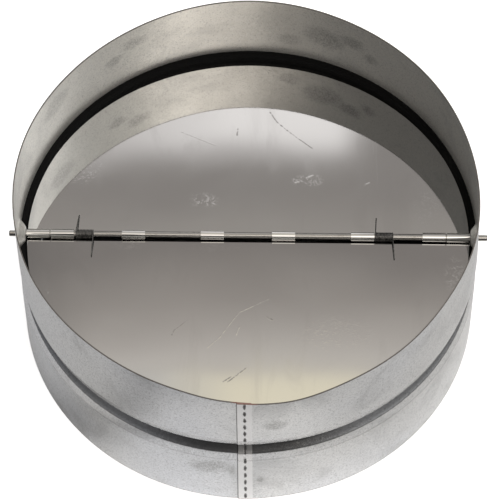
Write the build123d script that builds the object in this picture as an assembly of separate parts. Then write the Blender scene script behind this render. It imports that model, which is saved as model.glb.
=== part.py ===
from build123d import *
import os
from math import acos, atan2, cos, degrees, hypot, pi, radians, sin, sqrt

# Backdraft damper for a 12 in round duct: a sheet-steel sleeve with two half-round blades that swing up
# on one rod. The sleeve stands on its inlet end. The origin is the centre of that end, +Z points to the
# outlet, and the rod lies along X. Lengths are in millimetres, angles in degrees.

# Driving dimensions of the sleeve, and where its round faces start, clear of the dimples and the lap
SLEEVE_RADIUS = 151.5
SLEEVE_HEIGHT = 133.0
SLEEVE_SHEET = 0.7
SEAM_TURN = 45.0
BEAD_LOW = 52.5
BEAD_HIGH = 79.0
BEAD_DEPTH = 6.0
BEAD_FLAT = 3.0
BEAD_EDGE_RADIUS = 2.0
BEAD_CREST_RADIUS = 2.2

# Lap seam at the front of the sleeve: the outer end of the sheet, the inner end, the angle where the outer
# end has sunk back to the round wall, and the line of weld spots
FRONT = -88.9
LAP_OUTER_END = FRONT - 2.8
LAP_INNER_END = FRONT + 0.6
LAP_BLEND_END = FRONT + 6.0
LAP_SPARE = 4.0
WELD_ANGLE = FRONT - 1.0
WELD_COUNT = 13
WELD_FIRST = 4.4
WELD_PITCH = 9.6
WELD_RADIUS = 1.5
WELD_DENT = 0.35

# Rod and the dimples pressed into the sleeve round its holes
ROD_RADIUS = 2.0
ROD_HEIGHT = 82.2
ROD_STANDOUT = 6.0
ROD_CHAMFER = 0.4
DIMPLE_FACE = 146.4
DIMPLE_FACE_RADIUS = 4.8
DIMPLE_BASE_RADIUS = 10.0
DIMPLE_ROUND = 1.2

# Blades: closed, each one droops a little from the rod to the seal
BLADE_SHEET = 1.0
BLADE_RADIUS = 145.6
BLADE_DROOP = 2.5
BLADE_EDGE = 4.0
KNUCKLE_CLEARANCE = 0.08
KNUCKLE_WIDTH = 15.2
KNUCKLE_STARTS = (-146.0, -31.0, 67.8, 114.8)
CURL_END = -8.0

# Soft ring on the bead, pressed down where the blades lie on it
SEAL_TOP = 79.4
SEAL_INNER = 143.6
SEAL_LOW = 68.0
SEAL_GAP = 0.3

# Torsion springs round the rod, one leg on each blade
WIRE = 0.8
COIL_INNER = 2.3
COIL_TURNS = 9
COIL_PITCH = 1.25
LEG_REACH = 16.0
SPRING_STARTS = (-113.3, 83.9)

os.makedirs("parts", exist_ok=True)


def polar(radius, angle, z=0.0):
    return Vector(radius * cos(radians(angle)), radius * sin(radians(angle)), z)


# Sleeve

def sleeve_core(wall_radius):
    """Everything inside a wall of this radius, with the bead cut in, as a solid of revolution."""
    crest = wall_radius - BEAD_DEPTH
    middle = (BEAD_LOW + BEAD_HIGH) / 2
    wall = FilletPolyline(
        (wall_radius, 0, 0),
        (wall_radius, 0, BEAD_LOW),
        (crest, 0, middle - BEAD_FLAT / 2),
        (crest, 0, middle + BEAD_FLAT / 2),
        (wall_radius, 0, BEAD_HIGH),
        (wall_radius, 0, SLEEVE_HEIGHT),
        radius=[BEAD_EDGE_RADIUS, BEAD_CREST_RADIUS, BEAD_CREST_RADIUS, BEAD_EDGE_RADIUS],
    )
    ends = Polyline((wall_radius, 0, SLEEVE_HEIGHT), (0, 0, SLEEVE_HEIGHT), (0, 0, 0), (wall_radius, 0, 0))
    return Rot(0, 0, SEAM_TURN) * revolve(make_face(wall + ends), Axis.Z)


def wedge(start, end):
    """A tall three-sided block from the axis outward, between two angles."""
    reach = 2 * SLEEVE_RADIUS
    base = make_face(Polyline((0, 0, 0), polar(reach, start), polar(reach, end), close=True))
    return extrude(base, SLEEVE_HEIGHT, dir=(0, 0, 1))


def lap_shift():
    """How far the wall moves to stand a sheet's thickness proud at the lap and be flush further round."""
    proud = polar(SLEEVE_RADIUS + SLEEVE_SHEET, LAP_OUTER_END)
    flush = polar(SLEEVE_RADIUS, LAP_BLEND_END)
    half = (flush - proud) / 2
    rise = sqrt(SLEEVE_RADIUS**2 - half.length**2)
    inward = Vector(-half.Y, half.X, 0).normalized()
    return proud + half + inward * rise


def lap_radius(angle):
    """Outer radius of the lapped wall at this angle."""
    shift = lap_shift()
    along = shift.dot(polar(1, angle))
    return along + sqrt(along**2 + SLEEVE_RADIUS**2 - shift.length**2)


def sleeve():
    outside = sleeve_core(SLEEVE_RADIUS)
    inside = sleeve_core(SLEEVE_RADIUS - SLEEVE_SHEET)
    lap = Pos(lap_shift())
    outside += lap * outside & wedge(LAP_OUTER_END, LAP_BLEND_END + LAP_SPARE)
    inside += lap * inside & wedge(LAP_INNER_END, LAP_BLEND_END + LAP_SPARE)
    for side in (-1, 1):
        outside -= dimple(side, SLEEVE_SHEET)
        inside -= dimple(side, 0)
    sheet = outside - inside
    for side in (-1, 1):
        sheet -= rod_hole(side)
    return sheet - weld_dents()


def dimple(side, shift):
    """The solid that a dimple takes out of the duct: its flat face and its sloping flank."""
    slope = (DIMPLE_BASE_RADIUS - DIMPLE_FACE_RADIUS) / (SLEEVE_RADIUS - SLEEVE_SHEET - DIMPLE_FACE)
    flank = sqrt(1 + slope**2)
    face = DIMPLE_FACE + shift
    face_radius = DIMPLE_FACE_RADIUS + slope * shift - flank * shift
    far = SLEEVE_RADIUS + 5
    far_radius = face_radius + slope * (far - face)
    outline = FilletPolyline(
        (face, 0), (face, face_radius), (far, far_radius),
        radius=DIMPLE_ROUND,
    )
    back = Polyline((far, far_radius), (far, 0), (face, 0))
    plug = revolve(make_face(outline + back), Axis.X)
    if side < 0:
        plug = mirror(plug, Plane.YZ)
    return Pos(0, 0, ROD_HEIGHT) * plug


def rod_hole(side):
    length = 2 * (SLEEVE_RADIUS - DIMPLE_FACE)
    return Pos(side * SLEEVE_RADIUS, 0, ROD_HEIGHT) * Rot(0, 90, 0) * Cylinder(ROD_RADIUS, length)


def weld_dents():
    """Shallow round dents of the spot welds, above and below the bead."""
    dents = Part()
    ball = (WELD_RADIUS**2 + WELD_DENT**2) / (2 * WELD_DENT)
    from_axis = lap_radius(WELD_ANGLE) + ball - WELD_DENT
    for row in range(WELD_COUNT):
        height = WELD_FIRST + row * WELD_PITCH
        if BEAD_LOW - WELD_RADIUS < height < BEAD_HIGH + WELD_RADIUS:
            continue
        dents += Pos(polar(from_axis, WELD_ANGLE, height)) * Sphere(ball)
    return dents


# Blades

def sheet_curl():
    """Edge-on outline of a knuckle, seen along the rod, with the blade's sheet leaving towards +Y."""
    inner = ROD_RADIUS + KNUCKLE_CLEARANCE
    outer = inner + BLADE_SHEET
    ring = Circle(outer) - Circle(inner)
    seam = make_face(Polyline(
        (0, 0),
        (4 * outer * cos(radians(CURL_END)), 4 * outer * sin(radians(CURL_END))),
        (4 * outer, -4 * outer),
        (0, -4 * outer),
        close=True,
    ))
    tail_end = BLADE_EDGE + BLADE_SHEET
    tail = Pos(tail_end / 2, -(inner + outer) / 2) * Rectangle(tail_end, BLADE_SHEET)
    return ring - seam + tail


def blade():
    """The blade on the +Y side, flat and level, hinged on the X axis."""
    level = -(ROD_RADIUS + KNUCKLE_CLEARANCE + BLADE_SHEET)
    beyond_edge = Pos(0, BLADE_RADIUS + BLADE_EDGE) * Rectangle(2 * BLADE_RADIUS, 2 * BLADE_RADIUS)
    leaf = extrude(Pos(0, 0, level) * (Circle(BLADE_RADIUS) & beyond_edge), BLADE_SHEET)
    profile = Plane.YZ * sheet_curl()
    for start in KNUCKLE_STARTS:
        leaf += Pos(start, 0, 0) * extrude(profile, KNUCKLE_WIDTH)
    return leaf


def closed_blade(turn):
    """A blade hung on the rod in its closed pose; turned half round for the second one."""
    return Pos(0, 0, ROD_HEIGHT) * Rot(0, 0, turn) * Rot(-BLADE_DROOP, 0, 0) * blade()


# Rod

def hinge_rod():
    length = 2 * (SLEEVE_RADIUS + ROD_STANDOUT)
    rod = Rot(0, 90, 0) * Cylinder(ROD_RADIUS, length)
    rod = chamfer(rod.edges().filter_by(GeomType.CIRCLE), ROD_CHAMFER)
    return Pos(0, 0, ROD_HEIGHT) * rod


# Seal

def seal_ring():
    """Soft ring between the wall and the bead's crest, with the two closed blades pressed into it."""
    wall = SLEEVE_RADIUS - SLEEVE_SHEET
    section = make_face(Polyline(
        (wall + 1, 0, SEAL_TOP),
        (wall - 3.2, 0, SEAL_TOP),
        (SEAL_INNER, 0, SEAL_TOP - 3.0),
        (SEAL_INNER, 0, SEAL_LOW),
        (wall + 1, 0, SEAL_LOW),
        close=True,
    ))
    room = sleeve_core(wall)
    for side in (-1, 1):
        room -= dimple(side, 0)
    ring = Rot(0, 0, SEAM_TURN) * revolve(section, Axis.Z) & room
    for turn in (0, 180):
        ring -= blade_pocket(turn)
    deep = ROD_RADIUS + KNUCKLE_CLEARANCE + BLADE_SHEET + SEAL_GAP
    wide = BLADE_EDGE + BLADE_SHEET + SEAL_GAP
    return ring - Pos(0, 0, ROD_HEIGHT) * Box(2 * DIMPLE_FACE, 2 * wide, 2 * deep)


def blade_pocket(turn):
    """The space of a closed blade and all above it, a hair larger all round."""
    level = -(ROD_RADIUS + KNUCKLE_CLEARANCE + BLADE_SHEET) - SEAL_GAP
    reach = BLADE_RADIUS + SEAL_GAP
    half = Circle(reach) & Pos(0, reach) * Rectangle(2 * reach, 2 * reach)
    block = extrude(Pos(0, 0, level) * half, 20)
    return Pos(0, 0, ROD_HEIGHT) * Rot(0, 0, turn) * Rot(-BLADE_DROOP, 0, 0) * block


# Springs

def biarc(start, start_way, end, end_way):
    """Two arcs that join two points with the given directions, with no kink between them."""
    gap = end - start
    both = start_way + end_way
    along = gap.dot(both)
    spread = 2 * (1 - start_way.dot(end_way))
    reach = (-along + sqrt(along**2 + spread * gap.dot(gap))) / spread
    joint = (start + end + (start_way - end_way) * reach) / 2
    joint_way = (end - end_way * reach - start - start_way * reach).normalized()
    return [
        TangentArc(start, joint, tangent=start_way),
        TangentArc(joint, end, tangent=joint_way),
    ]


def coil_point(start, angle):
    """A point of the wire's centre line and its direction, after this many degrees of winding."""
    radius = COIL_INNER + WIRE / 2
    rise = COIL_PITCH / (2 * pi * radius)
    point = Vector(
        start + COIL_PITCH * angle / 360,
        -radius * sin(radians(angle)),
        radius * cos(radians(angle)),
    )
    way = Vector(rise, -cos(radians(angle)), -sin(radians(angle))).normalized()
    return point, way


def leg_angles():
    """Turn of the coil at which a straight leg leaves to touch the blade with its tip."""
    radius = COIL_INNER + WIRE / 2
    rest = -(ROD_RADIUS + KNUCKLE_CLEARANCE) + WIRE / 2
    droop = radians(BLADE_DROOP)
    tip_y = LEG_REACH * cos(droop) + rest * sin(droop)
    tip_z = rest * cos(droop) - LEG_REACH * sin(droop)
    far = hypot(tip_y, tip_z)
    direction = degrees(atan2(tip_z, tip_y))
    opening = degrees(acos(radius / far))
    return 90 - (direction + opening), sqrt(far**2 - radius**2)


def torsion_spring(start):
    """One wire: a leg on the far blade, the turns round the rod, and a leg on the near blade."""
    back, leg = leg_angles()
    first = -back
    last = 360 * COIL_TURNS + back
    steps = 4 * COIL_TURNS
    angles = [first + (last - first) * step / steps for step in range(steps + 1)]
    places = [coil_point(start, angle) for angle in angles]
    edges = []
    point, way = places[0]
    edges.append(Line(point - way * leg, point))
    for (here, here_way), (there, there_way) in zip(places, places[1:]):
        edges += biarc(here, here_way, there, there_way)
    point, way = places[-1]
    edges.append(Line(point, point + way * leg))
    path = Wire([piece.edge() for piece in edges])
    start_plane = Plane(origin=path @ 0, z_dir=path % 0)
    wire = sweep(start_plane * Circle(WIRE / 2), path=path)
    report_spring(path, wire)
    return Pos(0, 0, ROD_HEIGHT) * wire


def report_spring(path, wire):
    """Print the least gap between the turns, and the volume against section times length."""
    radius = COIL_INNER + WIRE / 2
    samples = 40 * COIL_TURNS
    points = [coil_point(0, 360 * COIL_TURNS * step / samples)[0] for step in range(samples + 1)]
    least = min(
        (one - other).length
        for index, one in enumerate(points)
        for other in points[index + 20:]
    )
    expected = pi * (WIRE / 2)**2 * path.length
    print(f"spring: least gap between turns {least - WIRE:.2f} mm, mean radius {radius:.2f} mm")
    print(f"spring: volume {wire.volume:.2f}, section times length {expected:.2f}")


PARTS = {
    "sleeve": sleeve,
    "seal_ring": seal_ring,
    "hinge_rod": hinge_rod,
    "far_blade": lambda: closed_blade(0),
    "near_blade": lambda: closed_blade(180),
    "left_spring": lambda: torsion_spring(SPRING_STARTS[0]),
    "right_spring": lambda: torsion_spring(SPRING_STARTS[1]),
}

for name, make in PARTS.items():
    export_step(make(), f"parts/{name}.step")
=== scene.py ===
import math

import bpy
from mathutils import Matrix, Vector


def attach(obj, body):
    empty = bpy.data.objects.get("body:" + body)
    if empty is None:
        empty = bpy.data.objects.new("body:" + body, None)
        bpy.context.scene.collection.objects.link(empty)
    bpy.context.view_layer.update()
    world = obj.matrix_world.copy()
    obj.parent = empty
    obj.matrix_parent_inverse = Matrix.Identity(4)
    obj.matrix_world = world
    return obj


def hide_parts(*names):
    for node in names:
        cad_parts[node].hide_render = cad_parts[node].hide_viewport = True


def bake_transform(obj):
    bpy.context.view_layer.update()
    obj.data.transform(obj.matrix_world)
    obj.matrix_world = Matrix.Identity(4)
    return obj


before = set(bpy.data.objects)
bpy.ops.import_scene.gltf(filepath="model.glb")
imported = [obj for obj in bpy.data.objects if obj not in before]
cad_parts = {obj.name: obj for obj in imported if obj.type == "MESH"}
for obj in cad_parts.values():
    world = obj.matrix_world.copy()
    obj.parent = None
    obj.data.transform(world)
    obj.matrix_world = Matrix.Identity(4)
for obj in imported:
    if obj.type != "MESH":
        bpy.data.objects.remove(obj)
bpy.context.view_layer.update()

MM = 0.001

# The same dimensions as in the part's source, in millimetres. Angles are in degrees round the duct:
# 0 is the rod's right end, 90 the back, and the lap is at the front.
SLEEVE_RADIUS = 151.5
SLEEVE_HEIGHT = 133.0
SLEEVE_SHEET = 0.7
BEAD_LOW = 52.5
BEAD_HIGH = 79.0
BEAD_DEPTH = 6.0
BEAD_FLAT = 3.0
LAP_ANGLE = -88.9
LAP_OUTER_END = LAP_ANGLE - 2.8
LAP_INNER_END = LAP_ANGLE + 0.6
LAP_BLEND_END = LAP_ANGLE + 6.0
WELD_ANGLE = LAP_ANGLE - 1.0
WELD_COUNT = 13
WELD_FIRST = 4.4
WELD_PITCH = 9.6
WELD_RADIUS = 1.5
WELD_DENT = 0.35
ROD_HEIGHT = 82.2
DIMPLE_FACE = 146.4
DIMPLE_FACE_RADIUS = 4.8
DIMPLE_BASE_RADIUS = 10.0
WIRE = 0.8
COIL_RADIUS = 2.7
COIL_LENGTH = 11.25
SPRING_STARTS = {"left_spring": -113.3, "right_spring": 83.9}

# Shapes that only the scene has: the bead's gentle shoulders, in millimetres, and the outlet rim's
# bulges, each a size in millimetres, the angle of its middle and a width in degrees
SHOULDER_WIDTH = 7.2
SHOULDER_DEPTH = 1.6
RIM_BULGES = (
    (2.7, 90, 24), (-2.0, 12, 26), (-1.9, -32, 16), (3.9, -81, 13), (1.0, -97, 7), (-2.0, -128, 22),
    (0.8, 166, 18),
)

# Two columns of the sleeve's mesh this far apart, in degrees, make the cut edge of a lapped sheet
CUT_STEP = 0.001

# Each spring: its turns, the part of a turn more at each end before the leg leaves, the legs' length,
# and how far the tip of each leg leans along the rod
COIL_TURNS = 12
LEG_TURN = 17.7 / 360
LEG_LENGTH = 15.7
TIP_SHIFTS = {"left_spring": {"far": 1.3, "near": -0.8}, "right_spring": {"far": 0.7, "near": 1.0}}

# Stains on the sleeve: angle, height, half width in degrees, half height, and how strong
OUTER_STAINS = (
    (-82.5, 101.0, 4.2, 9.0, 0.7), (-99.5, 40.0, 7.0, 12.0, 0.6), (-86.3, 26.0, 0.9, 3.0, 0.6),
)
INNER_STAINS = (
    (71.0, 108.0, 7.0, 14.0, 0.55), (63.0, 112.0, 6.0, 8.0, 0.60), (57.5, 104.0, 3.0, 7.0, 0.55),
    (80.0, 96.0, 4.0, 8.0, 0.45), (121.0, 118.0, 4.5, 7.0, 0.50), (127.0, 110.0, 3.5, 6.0, 0.40),
    (148.0, 116.0, 6.0, 10.0, 0.30),
)

# Scuffs on the blades, in the plane of the sheet: middle, half width, half depth, and how strong
SCUFFS = (
    (-30.5, 30.0, 14.0, 8.0, 1.0), (136.0, -26.0, 9.0, 16.0, 0.9), (132.0, -62.0, 8.0, 14.0, 0.6),
    (39.0, 46.0, 14.0, 6.0, 0.8), (-80.0, -6.0, 16.0, 5.0, 0.5), (-112.0, 60.0, 16.0, 24.0, 0.5),
    (120.0, 24.0, 14.0, 18.0, 0.5), (-20.0, -8.0, 30.0, 5.0, 0.4), (60.0, -70.0, 30.0, 16.0, 0.4),
)

# Scratches on the blades: two ends in the plane of the sheet, and a width
PALE_SCRATCHES = (
    ((14.0, -46.0), (-4.4, -55.8), 0.45), ((-4.4, -55.8), (-8.9, -61.7), 0.45),
    ((-8.9, -61.7), (-17.1, -74.3), 0.45), ((-17.1, -74.3), (-25.3, -82.4), 0.45),
    ((-4.3, -66.1), (-6.7, -72.7), 0.6), ((-46.0, 85.5), (-23.4, 74.9), 0.4),
    ((38.5, 48.2), (42.5, 50.6), 0.9), ((31.0, 44.4), (34.6, 45.6), 0.8),
    ((76.5, 43.0), (80.5, 45.0), 0.7), ((-131.9, -40.6), (-130.2, -42.8), 0.9),
)
DARK_SCRATCHES = (
    ((13.3, 103.0), (18.2, 94.6), 0.6), ((18.2, 94.6), (28.4, 84.7), 0.6),
    ((28.4, 84.7), (41.9, 73.2), 0.5), ((-8.1, 88.5), (-8.7, 83.4), 0.7),
    ((-48.2, -73.2), (-46.4, -69.5), 0.8), ((-46.4, -69.5), (-38.1, -62.1), 0.35),
    ((13.2, -59.3), (16.5, -61.4), 0.8), ((-14.5, -106.8), (-9.5, -103.2), 0.6),
    ((-11.3, -106.8), (0.7, -96.2), 0.6),
)


# Numbers

def clamp(value):
    return max(0.0, min(1.0, value))


def smooth(value):
    """An S-shaped step from 0 to 1."""
    value = clamp(value)
    return value * value * (3 - 2 * value)


def soft_max(first, second, width):
    """The larger of two values, with the corner where they cross rounded over this width."""
    gap = first - second
    return (first + second + math.sqrt(gap * gap + width * width)) / 2


def soft_min(first, second, width):
    return -soft_max(-first, -second, width)


def turn_from(angle, middle):
    """The way from one angle to another round the duct, between -180 and 180."""
    return (angle - middle + 180) % 360 - 180


def spread(start, stop, step):
    """Even steps from start up to stop, which is left out."""
    count = max(1, round((stop - start) / step))
    return [start + (stop - start) * index / count for index in range(count)]


# Node trees

class Graph:
    """Short calls that add nodes to a material or the world. A colour is three numbers."""

    def __init__(self, tree):
        self.tree = tree
        tree.nodes.clear()

    def put(self, socket, value):
        if isinstance(value, bpy.types.NodeSocket):
            self.tree.links.new(value, socket)
        elif value is not None:
            socket.default_value = (*value, 1) if socket.type == "RGBA" else value

    def node(self, kind, inputs=None, **settings):
        made = self.tree.nodes.new(kind)
        for key, value in settings.items():
            setattr(made, key, value)
        for key, value in (inputs or {}).items():
            self.put(made.inputs[key], value)
        return made

    def math(self, operation, first, second=None, clamped=False):
        made = self.node("ShaderNodeMath", operation=operation, use_clamp=clamped)
        self.put(made.inputs[0], first)
        self.put(made.inputs[1], second)
        return made.outputs[0]

    def vector(self, operation, first, second=None, scale=None):
        made = self.node("ShaderNodeVectorMath", operation=operation)
        self.put(made.inputs[0], first)
        self.put(made.inputs[1], second)
        if scale is not None:
            self.put(made.inputs["Scale"], scale)
        return made.outputs["Value" if operation in ("DISTANCE", "DOT_PRODUCT") else "Vector"]

    def remap(self, value, low, high, to_low=0.0, to_high=1.0, kind="SMOOTHSTEP"):
        made = self.node("ShaderNodeMapRange", interpolation_type=kind, clamp=True, inputs={
            "Value": value, "From Min": low, "From Max": high, "To Min": to_low, "To Max": to_high})
        return made.outputs["Result"]

    def total(self, *values):
        made = values[0]
        for value in values[1:]:
            made = self.math("ADD", made, value)
        return made

    def product(self, *values):
        made = values[0]
        for value in values[1:]:
            made = self.math("MULTIPLY", made, value)
        return made

    def most(self, *values):
        made = values[0]
        for value in values[1:]:
            made = self.math("MAXIMUM", made, value)
        return made

    def rest(self, value):
        return self.math("SUBTRACT", 1.0, value)

    def square(self, value):
        return self.math("POWER", value, 2.0)

    def apart(self, first, second):
        return self.math("ABSOLUTE", self.math("SUBTRACT", first, second))

    def between(self, value, start, full, fade, end):
        """1 from full to fade, and 0 before start and after end."""
        return self.product(self.remap(value, start, full), self.remap(value, fade, end, 1, 0))

    def noise(self, where, scale, detail=3.0, roughness=0.5, distortion=0.0):
        made = self.node("ShaderNodeTexNoise", inputs={
            "Vector": where, "Scale": scale, "Detail": detail, "Roughness": roughness,
            "Distortion": distortion})
        return made.outputs["Fac"]

    def cell_colours(self, where, scale):
        return self.node("ShaderNodeTexVoronoi", inputs={"Vector": where, "Scale": scale}).outputs["Color"]

    def mix(self, factor, first, second):
        made = self.node("ShaderNodeMix", data_type="RGBA")
        self.put(made.inputs[0], factor)
        self.put(made.inputs[6], first)
        self.put(made.inputs[7], second)
        return made.outputs[2]

    def over(self, base, colour, *masks):
        """A colour laid over base, as strong as its masks multiplied together."""
        return self.mix(self.product(*masks), base, colour)

    def ramp(self, value, stops):
        """Colours along a value: stops are pairs of a value and a colour."""
        low, high = stops[0][0], stops[-1][0]
        made = self.node("ShaderNodeValToRGB", inputs={"Fac": self.remap(value, low, high, kind="LINEAR")})
        points = made.color_ramp.elements
        for place, _ in stops[1:-1]:
            points.new((place - low) / (high - low))
        for point, (_, colour) in zip(points, stops):
            point.color = (*colour, 1)
        return made.outputs["Color"]

    def bump(self, height, distance, normal=None):
        made = self.node("ShaderNodeBump", inputs={
            "Height": height, "Distance": distance, "Strength": 1.0, "Normal": normal})
        return made.outputs["Normal"]

    def place(self):
        return self.node("ShaderNodeTexCoord").outputs["Object"]

    def axes(self, where):
        made = self.node("ShaderNodeSeparateXYZ", inputs={0: where})
        return made.outputs[0], made.outputs[1], made.outputs[2]

    def stretch(self, where, x, y, z):
        return self.node("ShaderNodeMapping", inputs={"Vector": where, "Scale": (x, y, z)}).outputs[0]


def material(name, build, **constants):
    """A material whose shader gets plain values from constants and linked ones from build."""
    made = bpy.data.materials.new(name)
    made.use_nodes = True
    graph = Graph(made.node_tree)
    output = graph.node("ShaderNodeOutputMaterial")
    shader = graph.node("ShaderNodeBsdfPrincipled", inputs=constants)
    for key, value in build(graph).items():
        graph.put(shader.inputs[key], value)
    graph.tree.links.new(shader.outputs[0], output.inputs["Surface"])
    return made


def dress(piece, finish):
    piece.data.materials.clear()
    piece.data.materials.append(finish)


# Materials

def patches(g, first, second, places, ragged):
    """The strength of each patch at its middle, falling off towards its ragged edge."""
    strongest = 0.0
    for middle, level, wide, tall, strength in places:
        across = g.square(g.math("DIVIDE", g.math("SUBTRACT", first, middle), wide))
        upward = g.square(g.math("DIVIDE", g.math("SUBTRACT", second, level), tall))
        away = g.total(across, upward, ragged)
        strongest = g.most(strongest, g.remap(away, 0.1, 1.0, strength, 0))
    return strongest


def weld_spots(g, along, level, specks):
    """Distance from the nearest spot weld, about 1 at its ragged edge: each spot is taller than wide."""
    rows = g.math("DIVIDE", g.math("SUBTRACT", level, WELD_FIRST), WELD_PITCH)
    across = g.product(g.math("SUBTRACT", rows, g.math("ROUND", rows)), WELD_PITCH)
    wide, tall = g.square(g.product(along, 1.6)), g.square(g.product(across, 0.46))
    ragged = g.remap(specks, 0.35, 0.65, -0.35, 0.35, "LINEAR")
    return g.total(g.math("SQRT", g.total(wide, tall)), ragged)


def galvanised(g):
    """Zinc coat: a fine spangle of slightly tilted grains, dark specks, smudges and dark cut edges, with
    painted light: a paler, warmer inside, painted shade in the bead's groove and painted contact shade at the
    foot.
    """
    where = g.place()
    x, y, z = g.axes(where)
    angle = g.product(g.math("ARCTAN2", y, x), 180 / math.pi)
    level = g.math("DIVIDE", z, MM)
    along = g.product(g.math("SUBTRACT", angle, WELD_ANGLE), SLEEVE_RADIUS * math.pi / 180)
    facing = g.node("ShaderNodeNewGeometry").outputs["Normal"]
    outer = g.remap(g.vector("DOT_PRODUCT", where, facing), -0.01, 0.01)
    grains = g.cell_colours(where, 640)
    tone = g.axes(grains)[0]
    specks = g.noise(where, 900, 3, 0.6)
    smudge = g.noise(where, 24, 5, 0.62, 0.6)
    large = g.noise(where, 7, 2)

    # The coat, softer on the inside; its paler, warmer colour there is painted warm light
    base = g.mix(g.remap(large, 0.35, 0.65), (0.72, 0.735, 0.77), (0.75, 0.75, 0.745))
    base = g.mix(outer, (0.80, 0.788, 0.745), base)
    grain = g.remap(outer, 0, 1, 0.70, 1, "LINEAR")
    base = g.over(base, (0.50, 0.505, 0.52), g.remap(tone, 0, 1, 0, 0.26, "LINEAR"), grain)
    base = g.over(base, (0.33, 0.33, 0.335), g.remap(specks, 0.53, 0.66, 0, 0.55), grain)
    base = g.over(base, (0.90, 0.90, 0.91), g.remap(specks, 0.44, 0.33, 0, 0.50), grain)
    base = g.over(base, (0.43, 0.43, 0.43), g.remap(smudge, 0.50, 0.72, 0, 0.45), grain)

    ragged = g.remap(smudge, 0.3, 0.7, 0.5, -0.5, "LINEAR")
    stain = g.total(g.product(patches(g, angle, level, OUTER_STAINS, ragged), outer),
                    g.product(patches(g, angle, level, INNER_STAINS, ragged), g.rest(outer)))
    base = g.over(base, (0.27, 0.27, 0.265), stain, g.remap(specks, 0.40, 0.56, 0.45, 1.0))

    # The lap: a pale strip, the dark line of its cut edge and the scorched welds
    strip = g.between(along, -4.9, -4.5, 4.2, 5.0)
    edge = g.between(along, -5.35, -5.1, -4.7, -4.45)
    scorch = g.remap(weld_spots(g, along, level, specks), 1.0, 1.9, 1, 0)
    base = g.over(base, (0.99, 0.99, 1.0), strip, 0.85)
    base = g.over(base, (0.10, 0.10, 0.105), edge, 0.85)
    base = g.over(base, (0.07, 0.065, 0.065), scorch, 0.9)

    # The bead: painted shade below its crest, where the upper lip would shade the groove, painted shade along
    # the upper lip, and a dark line along the lower lip
    middle, half = (BEAD_LOW + BEAD_HIGH) / 2, (BEAD_HIGH - BEAD_LOW) / 2
    # Painted shade: the groove's crest darkened as if shaded by the upper lip
    crest = g.remap(g.apart(level, middle - 2.5), 1.2, 3.4, 0.45, 0)
    lower_lip = g.remap(g.apart(level, BEAD_LOW + 0.3), 0.2, 0.7, 0.25, 0)
    # Painted shade: a dark band along the upper lip
    upper_lip_shade = g.remap(g.apart(level, BEAD_HIGH - 2.5), 2.0, 3.6, 0.40, 0)
    base = g.over(base, (0.05, 0.05, 0.052), crest)
    base = g.over(base, (0.10, 0.10, 0.10), lower_lip)
    base = g.over(base, (0.10, 0.10, 0.10), upper_lip_shade)

    # Uncoated steel at both rims, rusty near the lap; the dark line along the foot is partly painted contact
    # shade where the sleeve stands on the floor
    top = g.remap(level, SLEEVE_HEIGHT - 0.7, SLEEVE_HEIGHT - 0.3)
    # Painted contact shade: part of the foot's dark line stands in for shade where the sleeve meets the floor
    bare_edge_and_contact_shade = g.most(top, g.remap(level, 0.5, 0.2))
    near_lap = g.remap(g.math("ABSOLUTE", along), 5.0, 10.0, 1, 0)
    base = g.over(base, g.mix(near_lap, (0.13, 0.115, 0.10), (0.26, 0.12, 0.085)), bare_edge_and_contact_shade, 0.9)

    rough = g.remap(smudge, 0.3, 0.75, 0.28, 0.38, "LINEAR")
    rough = g.total(rough, g.remap(outer, 0, 1, 0.04, 0))
    rolled = g.remap(g.apart(level, middle), half - 0.2, half + 0.8, 0.10, 0)
    rough = g.total(g.math("SUBTRACT", rough, rolled), g.product(g.most(bare_edge_and_contact_shade, scorch), 0.2))
    tilt = g.vector("SCALE", g.vector("SUBTRACT", grains, (0.5, 0.5, 0.5)), None, 0.05)
    normal = g.bump(g.total(g.product(tone, 0.3), specks), 0.00002)
    normal = g.bump(g.noise(where, 14, 1), 0.0010, normal)
    normal = g.vector("NORMALIZE", g.vector("ADD", normal, tilt))
    metal = g.math("SUBTRACT", g.remap(outer, 0, 1, 0.70, 1, "LINEAR"), g.product(strip, 0.35))
    return {"Base Color": base, "Roughness": rough, "Normal": normal, "Metallic": metal}


def scratches(g, flat, lines):
    """1 on thin straight lines between two points of the sheet, given in millimetres."""
    strongest = 0.0
    for first, last, width in lines:
        start, end = Vector((*first, 0)) * MM, Vector((*last, 0)) * MM
        way = end - start
        offset = g.vector("SUBTRACT", flat, tuple(start))
        share = g.math("MULTIPLY", g.vector("DOT_PRODUCT", offset, tuple(way)), 1 / way.length_squared,
                       clamped=True)
        foot = g.vector("SCALE", tuple(way), None, share)
        away = g.vector("DISTANCE", offset, foot)
        strongest = g.most(strongest, g.remap(away, width * 0.35 * MM, width * MM, 1, 0))
    return strongest


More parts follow.
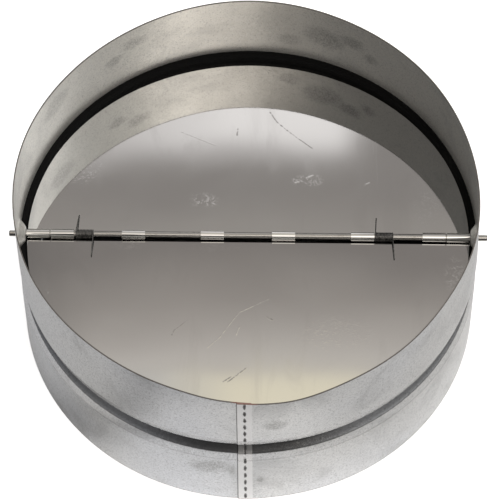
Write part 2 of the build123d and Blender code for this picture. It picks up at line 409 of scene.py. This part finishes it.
def blade_metal(g):
    """Smooth sheet with a mirror's gloss, hazy where it was handled, and a few scratches."""
    where = g.place()
    x, y, _ = g.axes(where)
    flat = g.node("ShaderNodeCombineXYZ", inputs={0: x, 1: y}).outputs[0]
    cloud = g.noise(where, 14, 4, 0.55, 0.5)
    wipe = g.noise(g.stretch(where, 30, 9, 9), 1.5, 4, 0.6, 0.8)
    hair = g.remap(g.noise(g.stretch(where, 500, 22, 30), 1.1, 2, 0.5, 1.6), 0.72, 0.80, 0, 0.6)
    broken = g.remap(g.noise(where, 520, 3), 0.40, 0.58, 0.10, 1.0)
    pale = g.product(scratches(g, flat, PALE_SCRATCHES), broken)
    dark = g.product(scratches(g, flat, DARK_SCRATCHES), broken)
    ragged = g.remap(cloud, 0.3, 0.7, 0.4, -0.4, "LINEAR")
    scuffed = patches(g, g.math("DIVIDE", x, MM), g.math("DIVIDE", y, MM), SCUFFS, ragged)
    scuffed = g.product(scuffed, g.remap(g.noise(where, 330, 5, 0.65, 1.5), 0.50, 0.66))

    base = g.mix(g.remap(cloud, 0.3, 0.7), (0.535, 0.528, 0.518), (0.552, 0.548, 0.538))
    base = g.over(base, (0.415, 0.407, 0.397), g.remap(wipe, 0.52, 0.70, 0, 0.16))
    base = g.over(base, (0.64, 0.64, 0.63), hair, 0.15)
    base = g.over(base, (0.80, 0.80, 0.79), scuffed, 0.22)
    base = g.over(base, (0.80, 0.80, 0.79), pale, 0.24)
    base = g.over(base, (0.15, 0.145, 0.14), dark, 0.38)
    worn = g.most(pale, dark, g.product(hair, 0.3), g.product(scuffed, 0.8))
    rough = g.remap(cloud, 0.35, 0.75, 0.032, 0.045, "LINEAR")
    rough = g.total(rough, g.remap(wipe, 0.50, 0.75, 0, 0.018), g.product(worn, 0.10))
    normal = g.bump(worn, 0.000004, g.bump(g.noise(where, 9, 1), 0.00022))
    return {"Base Color": base, "Roughness": rough, "Normal": normal}


def rubber(g):
    where = g.place()
    pores = g.noise(where, 1400, 3, 0.6)
    dust = g.noise(where, 40, 4)
    base = g.mix(g.remap(dust, 0.55, 0.8, 0, 0.5), (0.0025, 0.0025, 0.0026), (0.010, 0.010, 0.009))
    return {"Base Color": base, "Roughness": g.remap(pores, 0.2, 0.8, 0.62, 0.85),
            "Normal": g.bump(pores, 0.00012)}


def rod_steel(g):
    where = g.place()
    drawn = g.noise(g.stretch(where, 8, 900, 900), 2.0, 3)
    spots = g.noise(where, 160, 3)
    base = g.mix(g.remap(spots, 0.58, 0.75), (0.34, 0.33, 0.315), (0.24, 0.23, 0.215))
    return {"Base Color": base, "Roughness": g.remap(drawn, 0.3, 0.7, 0.12, 0.22),
            "Normal": g.bump(drawn, 0.00002)}


def wire_steel(g):
    where = g.place()
    wear = g.noise(where, 900, 3)
    film = g.noise(where, 120, 2)
    base = g.mix(g.remap(wear, 0.45, 0.7), (0.10, 0.098, 0.095), (0.20, 0.195, 0.19))
    return {"Base Color": base, "Roughness": g.remap(film, 0.3, 0.7, 0.26, 0.42),
            "Normal": g.bump(wear, 0.00003)}


GALVANISED = material("galvanised_sheet", galvanised)
BLADE = material("blade_sheet", blade_metal, Metallic=1.0)
RUBBER = material("black_rubber", rubber, **{"Metallic": 0.0, "Specular IOR Level": 0.12})
ROD = material("rod_steel", rod_steel, Metallic=1.0)
SPRING = material("spring_wire", wire_steel, Metallic=1.0)
NODE_FINISHES = {"seal_ring": RUBBER, "hinge_rod": ROD, "far_blade": BLADE, "near_blade": BLADE}


# Sleeve

def bead(height):
    """How far the bead takes the wall inward: gentle shoulders, then steeper flanks to a flat crest."""
    half = (BEAD_HIGH - BEAD_LOW) / 2
    away = abs(height - (BEAD_LOW + BEAD_HIGH) / 2)
    steep_half = half - SHOULDER_WIDTH
    steepness = (BEAD_DEPTH - SHOULDER_DEPTH) / (steep_half - BEAD_FLAT / 2)
    shoulder = (half - away) * SHOULDER_DEPTH / SHOULDER_WIDTH
    flank = SHOULDER_DEPTH + (steep_half - away) * steepness
    lip_rounding, crest_rounding = 0.3, 0.8
    depth = soft_max(shoulder, flank, lip_rounding)
    return soft_max(soft_min(depth, BEAD_DEPTH, crest_rounding), 0, lip_rounding)


def dimple_depth(angle, height):
    """How far the dimples round the rod holes take the wall inward at this place."""
    sink = SLEEVE_RADIUS - SLEEVE_SHEET - DIMPLE_FACE
    rounding = 0.16
    deepest = 0.0
    for middle in (0.0, 180.0):
        turn = turn_from(angle, middle)
        if abs(turn) <= 8:
            away = math.hypot(math.radians(turn) * SLEEVE_RADIUS, height - ROD_HEIGHT)
            share = (DIMPLE_BASE_RADIUS - away) / (DIMPLE_BASE_RADIUS - DIMPLE_FACE_RADIUS)
            share = soft_min(soft_max(share, 0, rounding), 1, rounding)
            deepest = max(deepest, sink * share)
    return deepest


def lap_height(angle, end):
    """How far the sheet stands proud at the lap, which starts at the cut edge called end."""
    if angle < end or angle > LAP_BLEND_END:
        return 0.0
    return SLEEVE_SHEET * (LAP_BLEND_END - angle) / (LAP_BLEND_END - LAP_OUTER_END)


def out_of_round(angle, height):
    """How far the wall is pulled out of the round: fully at the outlet rim, fading out at the bead."""
    total = 0.0
    for size, middle, width in RIM_BULGES:
        total += size * math.exp(-(turn_from(angle, middle) / width)**2)
    start = BEAD_HIGH - 8
    return total * smooth((height - start) / (SLEEVE_HEIGHT - start))


def weld_dent(angle, height):
    if abs(angle - WELD_ANGLE) > 1:
        return 0.0
    row = round((height - WELD_FIRST) / WELD_PITCH)
    if not 0 <= row < WELD_COUNT:
        return 0.0
    centre = WELD_FIRST + row * WELD_PITCH
    away = math.hypot(math.radians(angle - WELD_ANGLE) * SLEEVE_RADIUS, height - centre)
    return WELD_DENT * clamp(1 - (away / WELD_RADIUS)**2)


def sleeve_angles():
    """The mesh's columns: close together at the lap and at both dimples."""
    plain, fine, lapped, blended, dimple = 1.0, 0.25, 0.2, 0.6, 5
    angles = spread(-180 + dimple, LAP_OUTER_END - 1, plain)
    angles += spread(LAP_OUTER_END - 1, LAP_OUTER_END, fine)
    angles += [LAP_OUTER_END, LAP_OUTER_END + CUT_STEP]
    angles += spread(LAP_OUTER_END + fine, LAP_INNER_END, lapped)
    angles += [LAP_INNER_END, LAP_INNER_END + CUT_STEP]
    angles += spread(LAP_INNER_END + fine, LAP_BLEND_END, blended)
    angles += spread(LAP_BLEND_END, -dimple, plain)
    angles += spread(-dimple, dimple, fine)
    angles += spread(dimple, 180 - dimple, plain)
    angles += spread(180 - dimple, 180 + dimple, fine)
    return angles


def sleeve_heights():
    """The mesh's rows: close together at the bead, the dimples, the welds and both rims."""
    rim, least = 0.12, 0.1
    heights = [0.0, rim]
    heights += spread(1.2, SLEEVE_HEIGHT - 1, 2.6)
    heights += spread(BEAD_LOW - 2, BEAD_HIGH + 2, 0.4)
    heights += spread(BEAD_HIGH + 2, ROD_HEIGHT + DIMPLE_BASE_RADIUS + 2, 0.6)
    for row in range(WELD_COUNT):
        centre = WELD_FIRST + row * WELD_PITCH
        heights += [centre + 0.5 * step for step in range(-3, 4)]
    heights += [SLEEVE_HEIGHT - rim, SLEEVE_HEIGHT]
    heights = sorted(heights)
    kept = [heights[0]]
    for height in heights[1:]:
        if height - kept[-1] > least:
            kept.append(height)
    kept[-1] = SLEEVE_HEIGHT
    return kept


def wall_point(angle, height, inside):
    radius = SLEEVE_RADIUS - bead(height) + out_of_round(angle, height) - dimple_depth(angle, height)
    if inside:
        radius += lap_height(angle, LAP_INNER_END + CUT_STEP / 2) - SLEEVE_SHEET
    else:
        radius += lap_height(angle, LAP_OUTER_END + CUT_STEP / 2) - weld_dent(angle, height)
    turn = math.radians(angle)
    return Vector((radius * math.cos(turn), radius * math.sin(turn), height)) * MM


def loop_faces(columns, rows, index, flip=False):
    """Quads of a closed strip of columns; index gives a vertex number for a column and a row."""
    faces = []
    for column in range(columns):
        after = (column + 1) % columns
        for row in range(rows - 1):
            face = (index(column, row), index(after, row), index(after, row + 1), index(column, row + 1))
            faces.append(face[::-1] if flip else face)
    return faces


def new_object(name, points, faces, finish):
    mesh = bpy.data.meshes.new(name)
    mesh.from_pydata(points, [], faces)
    mesh.update()
    mesh.polygons.foreach_set("use_smooth", [True] * len(mesh.polygons))
    made = bpy.data.objects.new(name, mesh)
    bpy.context.collection.objects.link(made)
    dress(made, finish)
    return made


def make_sleeve():
    angles, heights = sleeve_angles(), sleeve_heights()
    columns, rows = len(angles), len(heights)
    points = [wall_point(angle, height, False) for angle in angles for height in heights]
    points += [wall_point(angle, height, True) for angle in angles for height in heights]

    def outer(column, row):
        return column * rows + row

    def inner(column, row):
        return columns * rows + column * rows + row

    faces = loop_faces(columns, rows, outer)
    faces += loop_faces(columns, rows, inner, flip=True)
    for column in range(columns):
        after = (column + 1) % columns
        faces.append((outer(column, rows - 1), outer(after, rows - 1), inner(after, rows - 1),
                      inner(column, rows - 1)))
        faces.append((outer(after, 0), outer(column, 0), inner(column, 0), inner(after, 0)))
    made = new_object("sleeve_sheet", points, faces, GALVANISED)
    made.data.set_sharp_from_angle(angle=math.radians(40))
    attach(made, "housing")
    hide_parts("sleeve")


# Springs

def tube(name, path, radius, finish):
    """A wire of this radius along the points, closed by a flat face at each end."""
    sides = 12
    points, faces = [], []
    normal = None
    for index, here in enumerate(path):
        before = path[max(index - 1, 0)]
        after = path[min(index + 1, len(path) - 1)]
        way = (after - before).normalized()
        if normal is None:
            normal = way.orthogonal().normalized()
        normal = (normal - way * normal.dot(way)).normalized()
        side = way.cross(normal)
        for step in range(sides):
            turn = 2 * math.pi * step / sides
            points.append((here + (normal * math.cos(turn) + side * math.sin(turn)) * radius) * MM)
    for index in range(len(path) - 1):
        for step in range(sides):
            after = (step + 1) % sides
            faces.append((index * sides + step, index * sides + after,
                          (index + 1) * sides + after, (index + 1) * sides + step))
    faces.append(tuple(reversed(range(sides))))
    last = (len(path) - 1) * sides
    faces.append(tuple(range(last, last + sides)))
    return new_object(name, points, faces, finish)


def coil_point(start, turns):
    angle = 2 * math.pi * turns
    return Vector((start + COIL_LENGTH / COIL_TURNS * turns, -COIL_RADIUS * math.sin(angle),
                   ROD_HEIGHT + COIL_RADIUS * math.cos(angle)))


def make_spring_half(node, word, sign, first, last):
    """The coil from turn first to turn last and the leg on one blade."""
    start = SPRING_STARTS[node]
    count, leg_count = round((last - first) * 28), 12
    path = [coil_point(start, first + (last - first) * step / count) for step in range(count + 1)]
    end = path[0] if sign > 0 else path[-1]
    leave = 2 * math.pi * LEG_TURN
    way = Vector((0, sign * math.cos(leave), -math.sin(leave)))
    tip = end + way * LEG_LENGTH + Vector((TIP_SHIFTS[node][word], 0, 0))
    leg = [end + (tip - end) * (step / leg_count) for step in range(1, leg_count + 1)]
    path = leg[::-1] + path if sign > 0 else path + leg
    made = tube(f"{node}_{word}_half", path, WIRE / 2, SPRING)

    if sign > 0:
        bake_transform(made)
    else:
        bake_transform(made)
    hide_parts(node)


def make_spring(node):
    middle = COIL_TURNS / 2
    make_spring_half(node, "far", 1, -LEG_TURN, middle)
    make_spring_half(node, "near", -1, middle, COIL_TURNS + LEG_TURN)


# Stage

def make_world():
    """The studio that the metal mirrors: rise is degrees above the horizon, and turn is degrees from
    straight ahead of the camera, to the right. The camera itself sees plain white."""
    world = bpy.data.worlds.new("studio")
    bpy.context.scene.world = world
    world.use_nodes = True
    g = Graph(world.node_tree)
    x, y, z = g.axes(g.node("ShaderNodeTexCoord").outputs["Generated"])
    rise = g.product(g.math("ARCSINE", z), 180 / math.pi)
    turn = g.product(g.math("ARCTAN2", x, y), 180 / math.pi)
    aside = g.math("ABSOLUTE", turn)

    # Above the part: a dim left side, a light right side and bright windows behind the camera
    around = g.ramp(turn, (
        (-180, (2.5, 2.32, 2.12)), (-160, (2.7, 2.5, 2.30)), (-144, (0.155, 0.152, 0.149)),
        (8, (0.155, 0.152, 0.149)), (18, (0.95, 0.95, 0.95)), (58, (1.00, 0.99, 0.98)),
        (80, (0.87, 0.86, 0.84)), (100, (0.90, 0.885, 0.86)), (126, (0.95, 0.925, 0.88)),
        (145, (1.45, 1.38, 1.29)), (162, (2.5, 2.32, 2.12)), (180, (2.5, 2.32, 2.12))))

    # Ahead: what the far blade mirrors, up to 58 degrees, and the near blade, above it
    ahead = g.ramp(rise, (
        (51.25, (0.406, 0.384, 0.37)), (52.3, (0.406, 0.381, 0.365)), (52.9, (0.507, 0.478, 0.449)),
        (58.0, (0.377, 0.355, 0.341)), (63.2, (0.341, 0.315, 0.3)), (64.2, (0.493, 0.457, 0.428)),
        (65.35, (0.848, 0.804, 0.754)), (65.42, (0.797, 0.754, 0.696)), (65.50, (0.797, 0.754, 0.696)),
        (65.58, (0.826, 0.812, 0.797)), (70.0, (0.826, 0.826, 0.826))))
    cream = g.product(g.between(turn, -6.5, -2.0, 3.4, 4.3), g.remap(rise, 65.50, 65.58))
    ahead = g.over(ahead, (1.232, 1.145, 0.913), cream)
    card = g.product(g.remap(turn, -5.2, -1.2, 0.6, 1), g.remap(turn, 1.5, 3.0, 1, 0))
    ahead = g.over(ahead, (1.348, 1.312, 1.305), card, g.remap(rise, 51.15, 51.95, 1, 0))
    ahead_side = g.remap(aside, 8, 14, 1, 0)
    dome = g.mix(ahead_side, around, ahead)
    dome = g.over(dome, (0.95, 0.90, 0.82), g.remap(rise, 69, 76))

    # The darker room below: behind the camera it reaches higher
    behind = g.remap(aside, 130, 165)
    room = g.mix(g.remap(turn, 10, 20), (0.20, 0.20, 0.204), (0.30, 0.30, 0.305))
    room = g.over(room, (0.06, 0.058, 0.056), behind)
    level = g.math("SUBTRACT", rise, g.product(behind, 32))
    dome = g.over(dome, room, g.remap(level, 26, 36, 1, 0), g.rest(ahead_side))
    dome = g.over(dome, room, g.remap(rise, 14, 30, 1, 0))
    backdrop = g.product(g.remap(rise, 22, 30, 1, 0), g.remap(aside, 50, 75, 1, 0))
    dome = g.over(dome, (1.5, 1.47, 1.42), backdrop)

    light = g.node("ShaderNodeBackground", inputs={"Color": dome, "Strength": 1.0})
    white = g.node("ShaderNodeBackground", inputs={"Color": (1, 1, 1), "Strength": 1.0})
    camera_ray = g.node("ShaderNodeLightPath").outputs["Is Camera Ray"]
    choice = g.node("ShaderNodeMixShader", inputs={0: camera_ray, 1: light.outputs[0], 2: white.outputs[0]})
    g.node("ShaderNodeOutputWorld", inputs={"Surface": choice.outputs[0]})


def floor_finish():
    """White to the camera. The metal mirrors a grey table with a paler, glowing sheet round the part, which
    is a painted pool of light; under the sleeve the floor is painted darker as shade.
    """
    finish = bpy.data.materials.new("floor")
    finish.use_nodes = True
    g = Graph(finish.node_tree)
    x, y, _ = g.axes(g.place())
    away = g.math("SQRT", g.total(g.square(x), g.square(y)))
    outside = g.remap(away, 0.1500, 0.1515)

    # The sheet, a painted pool of light, is narrow in front of the part, brighter at its right foot and
    # dimmer on both sides
    wider = g.remap(g.math("DIVIDE", y, away), -0.95, -0.70, 0, 0.09)
    sheet = g.remap(g.math("SUBTRACT", away, wider), 0.200, 0.34, 1, 0)
    foot = g.product(g.remap(away, 0.153, 0.180, 0.42, 0, "LINEAR"), g.remap(x, -0.12, -0.02))
    left = g.total(g.remap(x, -0.13, -0.08, 0.42, 1), g.remap(x, -0.16, -0.12, 0.30, 0))
    right = g.remap(x, 0.04, 0.13, 1, 0.72)
    sheet = g.product(g.total(sheet, foot), left, right)

    rays = g.node("ShaderNodeLightPath")
    seen, mirrored = rays.outputs["Is Camera Ray"], rays.outputs["Is Glossy Ray"]
    pale = g.math("MAXIMUM", seen, g.product(sheet, 0.65), clamped=True)
    paper = g.mix(pale, (0.10, 0.10, 0.10), (0.85, 0.85, 0.85))
    # Painted shade: inside the sleeve's foot the floor is dark grey and does not glow
    paper = g.node("ShaderNodeBsdfDiffuse", inputs={"Color": g.mix(outside, (0.25, 0.25, 0.25), paper)})
    strength = g.total(g.product(seen, 0.72), g.product(mirrored, sheet, 0.40))
    glow = g.node("ShaderNodeEmission", inputs={"Color": (1, 1, 1), "Strength": g.product(outside, strength)})
    both = g.node("ShaderNodeAddShader", inputs={0: paper.outputs[0], 1: glow.outputs[0]})
    g.node("ShaderNodeOutputMaterial", inputs={"Surface": both.outputs[0]})
    return finish


def make_floor():
    size = 6.0
    points = [Vector((a * size, b * size, 0)) for a, b in ((-1, -1), (1, -1), (1, 1), (-1, 1))]
    mesh = bpy.data.meshes.new("floor")
    mesh.from_pydata(points, [], [(0, 1, 2, 3)])
    floor = bpy.data.objects.new("floor", mesh)
    bpy.context.collection.objects.link(floor)
    dress(floor, floor_finish())


def area_light(name, place, size, power, colour):
    """A round lamp that faces the part; its place and size are in metres."""
    data = bpy.data.lights.new(name, "AREA")
    data.shape = "DISK"
    data.size = size
    data.energy = power
    data.color = colour
    light = bpy.data.objects.new(name, data)
    bpy.context.collection.objects.link(light)
    light.location = place
    light.rotation_mode = "QUATERNION"
    light.rotation_quaternion = (Vector((0, 0, 0.08)) - Vector(place)).to_track_quat("-Z", "Y")


def make_camera():
    """The photograph's view, found by fitting the rims of the sleeve and the edge of a blade."""
    azimuth, elevation, roll = math.radians(1.43), math.radians(58.33), math.radians(-0.63)
    distance, side_shift, up_shift = 2.012, -0.0031, -0.0361
    lens, sensor = 224.6, 36.0
    back = Vector((math.cos(elevation) * math.sin(azimuth), -math.cos(elevation) * math.cos(azimuth),
                   math.sin(elevation)))
    right = Vector((math.cos(azimuth), math.sin(azimuth), 0))
    up = back.cross(right)
    data = bpy.data.cameras.new("camera")
    data.lens = lens
    data.sensor_width = sensor
    data.clip_start, data.clip_end = 0.05, 50
    camera = bpy.data.objects.new("camera", data)
    bpy.context.collection.objects.link(camera)
    turned_right = right * math.cos(roll) + up * math.sin(roll)
    turned_up = up * math.cos(roll) - right * math.sin(roll)
    rotation = Matrix((turned_right, turned_up, back)).transposed()
    outlet = Vector((0, 0, SLEEVE_HEIGHT * MM))
    place = back * distance + right * side_shift + up * up_shift + outlet
    camera.matrix_world = Matrix.Translation(place) @ rotation.to_4x4()
    bpy.context.scene.camera = camera


for node, finish in NODE_FINISHES.items():
    dress(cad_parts[node], finish)
make_sleeve()
for node in SPRING_STARTS:
    make_spring(node)
make_world()
make_floor()
area_light("key", (1.4, 1.2, 1.9), 1.6, 6, (1.0, 0.99, 0.97))
area_light("front", (0.54, -1.22, 1.7), 1.5, 9, (1.0, 0.94, 0.88))
make_camera()
bpy.context.scene.view_settings.view_transform = "Standard"
